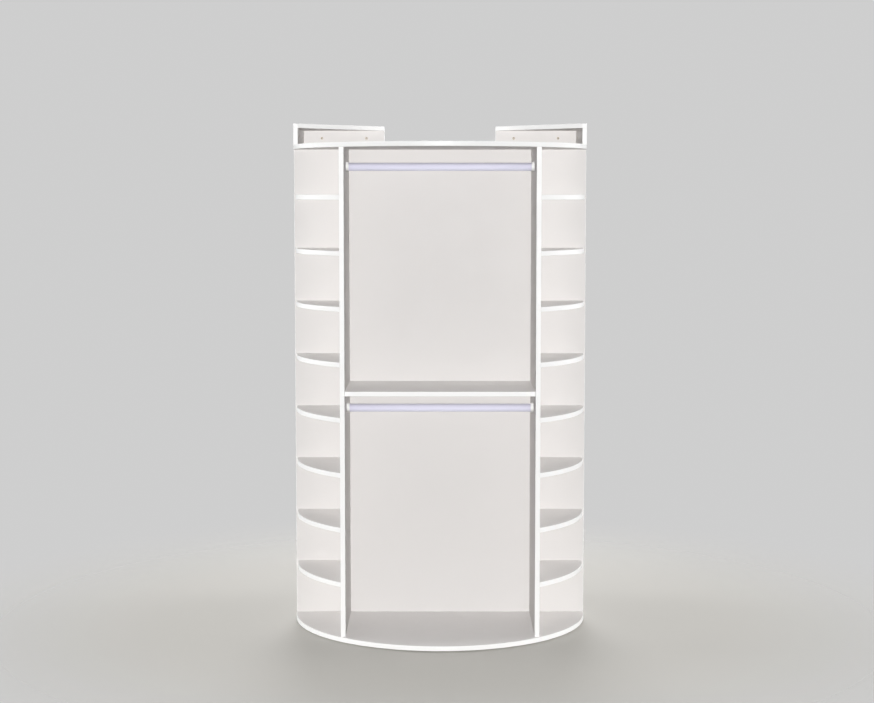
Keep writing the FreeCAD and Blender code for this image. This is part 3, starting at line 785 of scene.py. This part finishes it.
# ---------------------------------------------------------------- top pivot and its carrier
# A turned steel pivot with a screwed flange stands on the upper disc. Its pin runs in a plastic
# bush in the carrier, a flat zinc-plated steel plate whose two arms reach into the corner boxes.
turned_steel = make_metal(
    "turned_steel", (0.66, 0.67, 0.68, 1.0), roughness=0.28, stretch=(60.0, 60.0, 1800.0),
    depth=0.1)
dress("top_pivot", turned_steel)
dress("pivot_bush", white_plastic)
dress("pivot_carrier", zinc_plate)
add_small_screws("pivot_screws", "carousel")
add_small_screws("carrier_screws", "fixed_frame")

# ---------------------------------------------------------------- corner boxes
# Two three-cornered boxes of the same melamine board, open on the diagonal, with a thin bottom.
# They are screwed to the walls of the alcove through countersunk holes in their side and back.
WALL_HOLE = 0.00275
WALL_SPACING = 0.2
PIN_HEAD = 0.003
PIN_CORE = 0.0015
wall_hole = countersunk_hole(2 * WALL_HOLE, WALL_HOLE, BOARD + OVERSHOOT)

for hand, side in (("left", -1), ("right", 1)):
    lid_low, lid_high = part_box("box_lid_" + hand)
    back_low, back_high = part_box("box_back_" + hand)
    side_low, side_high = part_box("box_side_" + hand)
    wall_x = lid_high.x if side > 0 else lid_low.x
    end_x = lid_low.x if side > 0 else lid_high.x
    inner_x = side_low.x if side > 0 else side_high.x

    lid = saw_board([
        (wall_x, lid_low.y), (wall_x, lid_high.y), (end_x, lid_high.y), (end_x, back_low.y),
        (inner_x, lid_low.y)], [True] * 5, lid_low.z, lid_high.z, 2)
    lid_drill = bmesh.new()
    drill_for_screws(lid_drill, "box_screws", lid_high.z, BOARD, side)
    finish_board(cut_away(lid, lid_drill), "box_lid_" + hand, "fixed_frame", "box_lid_" + hand)

    bottom_low, bottom_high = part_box("box_bottom_" + hand)
    bottom = saw_board([
        (inner_x, side_low.y), (inner_x, back_low.y), (end_x, back_low.y)],
        (False, False, True), bottom_low.z, bottom_high.z, 2)
    finish_board(bottom, "box_bottom_" + hand, "fixed_frame", "box_bottom_" + hand)

    hole_z = (bottom_high.z + lid_low.z) / 2
    side_board = saw_board([
        (side_low.y, side_low.z), (side_high.y, side_low.z), (side_high.y, side_high.z),
        (side_low.y, side_high.z)], (True, True, False, True), side_low.x, side_high.x, 0)
    side_drill = bmesh.new()
    back_board = saw_board([
        (back_low.x, back_low.z), (back_high.x, back_low.z), (back_high.x, back_high.z),
        (back_low.x, back_high.z)], (True, side < 0, False, side > 0), back_low.y, back_high.y, 1)
    back_drill = bmesh.new()
    for shift in (-WALL_SPACING / 2, WALL_SPACING / 2):
        side_spot = Vector((inner_x, (side_low.y + back_low.y) / 2 + shift, hole_z))
        side_stand = Matrix.Rotation(-side * math.pi / 2, 4, "Y")
        turn(side_drill, wall_hole, Matrix.Translation(side_spot) @ side_stand, kind=CORE)
        back_spot = Vector(((back_low.x + back_high.x) / 2 + shift, back_low.y, hole_z))
        back_stand = Matrix.Rotation(math.pi / 2, 4, "X")
        turn(back_drill, wall_hole, Matrix.Translation(back_spot) @ back_stand, kind=CORE)
    side_board = cut_away(side_board, side_drill)
    finish_board(side_board, "box_side_" + hand, "fixed_frame", "box_side_" + hand)
    back_board = cut_away(back_board, back_drill)
    finish_board(back_board, "box_back_" + hand, "fixed_frame", "box_back_" + hand)

add_panel_screws("box_screws", "fixed_frame")
add_small_screws("bottom_screws", "fixed_frame", PIN_HEAD, PIN_CORE)
